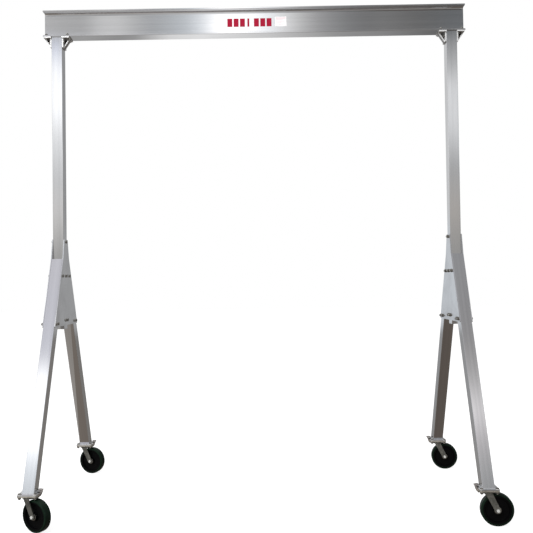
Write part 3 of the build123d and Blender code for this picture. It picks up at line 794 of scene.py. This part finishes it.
# behind the crane at three heights: what the inner sides of the end frames show. Dark gaps part the lit
# wall behind from the grey walls to the sides
BACK_LOW = (
    (-180, grey(0.26)), (-160, grey(0.34)), (-140, grey(0.12)), (-122, grey(0.12)),
    (-100, grey(0.34)), (-60, grey(0.38)), (60, grey(0.34)), (100, grey(0.30)),
    (122, grey(0.10)), (140, grey(0.10)), (158, (0.21, 0.195, 0.18)), (180, grey(0.22)),
)
BACK_MIDDLE = (
    (-180, grey(0.50, 0.04)), (-166, grey(0.70, 0.08)), (-160, grey(0.70, 0.08)),
    (-142, grey(0.18)), (-122, grey(0.14)), (-100, grey(0.44)), (-60, grey(0.52)),
    (60, grey(0.46)), (100, grey(0.40)), (122, grey(0.12)), (142, grey(0.14)),
    (158, grey(0.38)), (180, grey(0.42)),
)
BACK_HIGH = (
    (-180, grey(0.50)), (-166, grey(0.66)), (-160, grey(0.66)), (-142, grey(0.18)),
    (-122, grey(0.14)), (-100, grey(0.56)), (-60, grey(0.64)), (60, grey(0.58)),
    (100, grey(0.50)), (122, grey(0.12)), (142, grey(0.16)), (160, grey(0.30)),
    (167, grey(0.36)), (180, grey(0.48)),
)
GROUND = (
    (-180, (0.24, 0.22, 0.20)), (-24, (0.20, 0.17, 0.145)), (24, (0.12, 0.10, 0.085)),
    (180, (0.24, 0.22, 0.20)),
)
# a strip of floor far behind the crane, which the underside of the beam shows
FAR_FLOOR = (
    (-180, grey(0.70)), (-174.5, grey(0.90)), (-171.7, grey(0.82)), (-168.3, grey(0.30)),
    (-164.5, grey(0.40)), (-158, grey(0.24)), (158, (0.13, 0.125, 0.12)), (166, grey(0.16)),
    (170, grey(0.28)), (174, grey(0.34)), (177.2, grey(0.52)), (180, grey(0.70)),
)
# a strip of floor before the crane, which the underside of the top flange shows by way of the web
NEAR_FLOOR = (
    (-180, grey(0.30)), (-24, grey(0.50)), (-11, grey(0.52)), (-7.5, grey(0.66)),
    (-5, grey(1.0)), (-2, grey(0.95)), (1, grey(0.62)), (4, grey(0.42)), (7, grey(0.24)),
    (10, (0.17, 0.16, 0.15)), (16, (0.125, 0.12, 0.115)), (30, grey(0.2)), (180, grey(0.30)),
)
CEILING = ((-90, grey(0.7)), (90, grey(0.8)))

# where one part of the surround fades into the next: start and end in degrees
LOW_TO_MIDDLE = (-4.8, -3.6)
MIDDLE_TO_HIGH = (3, 6)
WALL_TO_CEILING = (30, 60)
GROUND_TO_WALL = (-25, -8)
LEFT_TO_RIGHT = (-14, 12)
LEFT_TO_BACK = (-90, -50)
RIGHT_TO_BACK = (90, 50)
# belts of rise: fading in over the first two angles and out over the last two
FAR_FLOOR_BELT = (-22.5, -21.5, -18.6, -17.6)
NEAR_FLOOR_BELT = (-27, -25, -18, -16)
WINDOW_BELT = (18.9, 19.5, 22.5, 25)
FULL_TURN = 360
HALF_TURN = 180


def ramp_place(degrees, whole):
    """An angle as a place on a ramp, which has 0 degrees in its middle."""
    return 0.5 + degrees / whole


class Surround(Nodes):
    """Short calls for a room that is drawn by the direction of view."""

    def __init__(self, tree):
        super().__init__(tree)
        split = tree.nodes.new("ShaderNodeSeparateXYZ")
        self.link(tree.nodes.new("ShaderNodeTexCoord").outputs["Generated"], split.inputs[0])
        behind = self.maths("MULTIPLY", split.outputs[1], -1.0)
        turn = self.maths("ARCTAN2", split.outputs[0], behind)
        self.turn = self.maths("ADD", self.maths("DIVIDE", turn, 2 * math.pi), 0.5)
        rise = self.maths("ARCSINE", split.outputs[2])
        self.rise = self.maths("ADD", self.maths("DIVIDE", rise, math.pi), 0.5)

    def tones(self, source, whole, stops):
        """The colours of a table, by turn or by rise."""
        node = self.tree.nodes.new("ShaderNodeValToRGB")
        elements = node.color_ramp.elements
        while len(elements) < len(stops):
            elements.new(0.5)
        for element, (degrees, colour) in zip(elements, stops):
            element.position = ramp_place(degrees, whole)
            element.color = (*colour, 1.0)
        self.link(source, node.inputs["Fac"])
        return node.outputs["Color"]

    def by_turn(self, stops):
        return self.tones(self.turn, FULL_TURN, stops)

    def by_rise(self, stops):
        return self.tones(self.rise, HALF_TURN, stops)

    def step(self, source, whole, start, end):
        """0 at the start angle, 1 at the end angle and past it."""
        node = self.tree.nodes.new("ShaderNodeMapRange")
        node.interpolation_type = "SMOOTHSTEP"
        node.inputs["From Min"].default_value = ramp_place(start, whole)
        node.inputs["From Max"].default_value = ramp_place(end, whole)
        self.link(source, node.inputs["Value"])
        return node.outputs["Result"]

    def turned_past(self, start, end):
        return self.step(self.turn, FULL_TURN, start, end)

    def risen_past(self, start, end):
        return self.step(self.rise, HALF_TURN, start, end)

    def between(self, low_start, low_end, high_start, high_end):
        """1 in a belt of rise, fading out below and above it."""
        above = self.risen_past(low_start, low_end)
        below = self.risen_past(high_end, high_start)
        return self.maths("MULTIPLY", above, below)

    def back(self):
        """The side behind the crane."""
        wall = self.blend(self.risen_past(*LOW_TO_MIDDLE), self.by_turn(BACK_LOW), self.by_turn(BACK_MIDDLE))
        wall = self.blend(self.risen_past(*MIDDLE_TO_HIGH), wall, self.by_turn(BACK_HIGH))
        wall = self.blend(self.risen_past(*WALL_TO_CEILING), wall, self.by_rise(CEILING))
        back = self.blend(self.risen_past(*GROUND_TO_WALL), self.by_turn(GROUND), wall)
        return self.blend(self.between(*FAR_FLOOR_BELT), back, self.by_turn(FAR_FLOOR))

    def front(self):
        """The camera's side."""
        left, right = self.by_rise(LEFT_WALL), self.by_rise(RIGHT_WALL)
        front = self.blend(self.turned_past(*LEFT_TO_RIGHT), left, right)
        front = self.blend(self.between(*NEAR_FLOOR_BELT), front, self.by_turn(NEAR_FLOOR))
        return self.blend(self.between(*WINDOW_BELT), front, self.by_turn(WINDOWS))

    def room(self):
        before = self.maths("MULTIPLY", self.turned_past(*LEFT_TO_BACK), self.turned_past(*RIGHT_TO_BACK))
        return self.blend(before, self.back(), self.front())


def make_surround():
    """White to the camera; a bright ceiling, a dim floor and uneven walls to light and reflections."""
    world = bpy.data.worlds.new("surround")
    bpy.context.scene.world = world
    world.use_nodes = True
    tree = world.node_tree
    tree.nodes.clear()
    surround = Surround(tree)
    lit = tree.nodes.new("ShaderNodeBackground")
    surround.link(surround.room(), lit.inputs["Color"])
    white = tree.nodes.new("ShaderNodeBackground")
    white.inputs["Color"].default_value = (1, 1, 1, 1)
    choose = tree.nodes.new("ShaderNodeMixShader")
    surround.link(tree.nodes.new("ShaderNodeLightPath").outputs["Is Camera Ray"], choose.inputs["Fac"])
    surround.link(lit.outputs[0], choose.inputs[1])
    surround.link(white.outputs[0], choose.inputs[2])
    output = tree.nodes.new("ShaderNodeOutputWorld")
    surround.link(choose.outputs[0], output.inputs[0])


KEY = {"place": (-4.5, -6.0, 6.5), "target": (-0.5, 0, 1.8), "power": 900, "colour": (0.97, 0.98, 1.0)}
FILL = {"place": (3.5, 4.5, 5.5), "target": (0.3, 0, 1.5), "power": 20, "colour": (1, 1, 1)}
PANEL_SIZE = (4.0, 3.0)


def make_light(name, place, target, power, colour):
    """A large soft panel that lights but isn't mirrored: the surround holds the reflections."""
    data = bpy.data.lights.new(name, "AREA")
    data.shape = "RECTANGLE"
    data.size, data.size_y = PANEL_SIZE
    data.energy = power
    data.color = colour
    light = bpy.data.objects.new(name, data)
    light.location = place
    light.rotation_mode = "QUATERNION"
    light.rotation_quaternion = (Vector(target) - Vector(place)).to_track_quat("-Z", "Y")
    light.visible_glossy = False
    bpy.context.scene.collection.objects.link(light)


EYE_ASIDE = 0.0999          # right of mid-span
EYE_AWAY = 4.8453           # before the beam
EYE_HEIGHT = 1.5488
YAW, PITCH, ROLL = (math.radians(degrees) for degrees in (-0.373, 1.117, -0.805))
SENSOR = 36.0
LENS = 45.23
VIEW_REACH = 200


def make_camera():
    """Eye height in front of the crane, a little right of mid-span and rolled slightly."""
    place = Vector((MID_SPAN.x + EYE_ASIDE, MID_SPAN.y - EYE_AWAY, FLOOR + EYE_HEIGHT))
    ahead = Vector((math.sin(YAW) * math.cos(PITCH), math.cos(YAW) * math.cos(PITCH), math.sin(PITCH)))
    level = Vector((math.cos(YAW), -math.sin(YAW), 0))
    upright = level.cross(ahead)
    right = level * math.cos(ROLL) + upright * math.sin(ROLL)
    top = upright * math.cos(ROLL) - level * math.sin(ROLL)
    data = bpy.data.cameras.new("camera")
    data.sensor_width = SENSOR
    data.lens = LENS
    data.clip_end = VIEW_REACH
    camera = bpy.data.objects.new("camera", data)
    camera.matrix_world = Matrix.Translation(place) @ Matrix((right, top, -ahead)).transposed().to_4x4()
    bpy.context.scene.collection.objects.link(camera)
    bpy.context.scene.camera = camera


make_floor()
make_surround()
make_light("key", **KEY)
make_light("fill", **FILL)
make_camera()
bpy.context.scene.view_settings.view_transform = "Standard"
